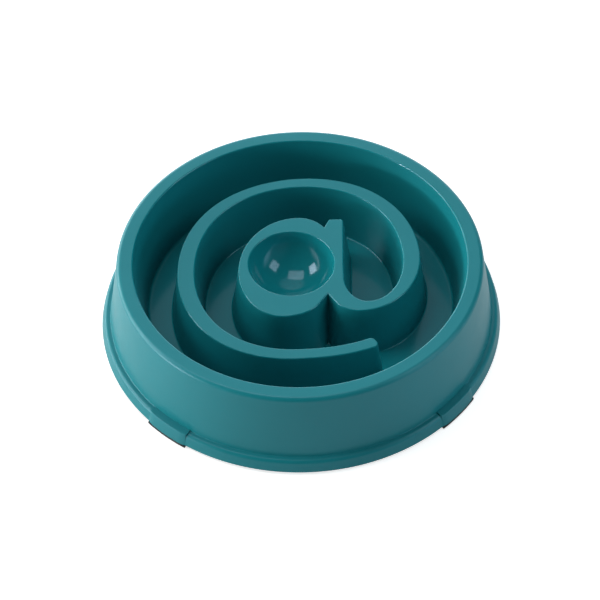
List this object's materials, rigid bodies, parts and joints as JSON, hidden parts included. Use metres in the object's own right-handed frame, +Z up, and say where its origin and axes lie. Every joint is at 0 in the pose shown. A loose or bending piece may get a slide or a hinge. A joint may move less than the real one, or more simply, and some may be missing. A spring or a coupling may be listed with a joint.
{
  "type": "slow feeder bowl",
  "caption": "Round slow feeder bowl for a pet, with a spiral maze ridge and a small centre dish on its floor, and non-slip rubber feet.",
  "frame": {"origin": "centre of the bowl, on the table that its feet stand on", "axes": "+Z up; +Y away from the viewer's side, so that the maze's stroke reads upright seen from -Y; +X to the right"},
  "size_m": [0.2, 0.2, 0.0432],
  "materials": {
    "teal_plastic": "smooth, semi-gloss, with a fine moulded bloom",
    "black_rubber": "matt"
  },
  "bodies": {
    "root": {"bowl": "teal_plastic", "foot_front_left": "black_rubber", "foot_front_right": "black_rubber", "foot_back_left": "black_rubber", "foot_back_right": "black_rubber"}
  },
  "joints": []
}
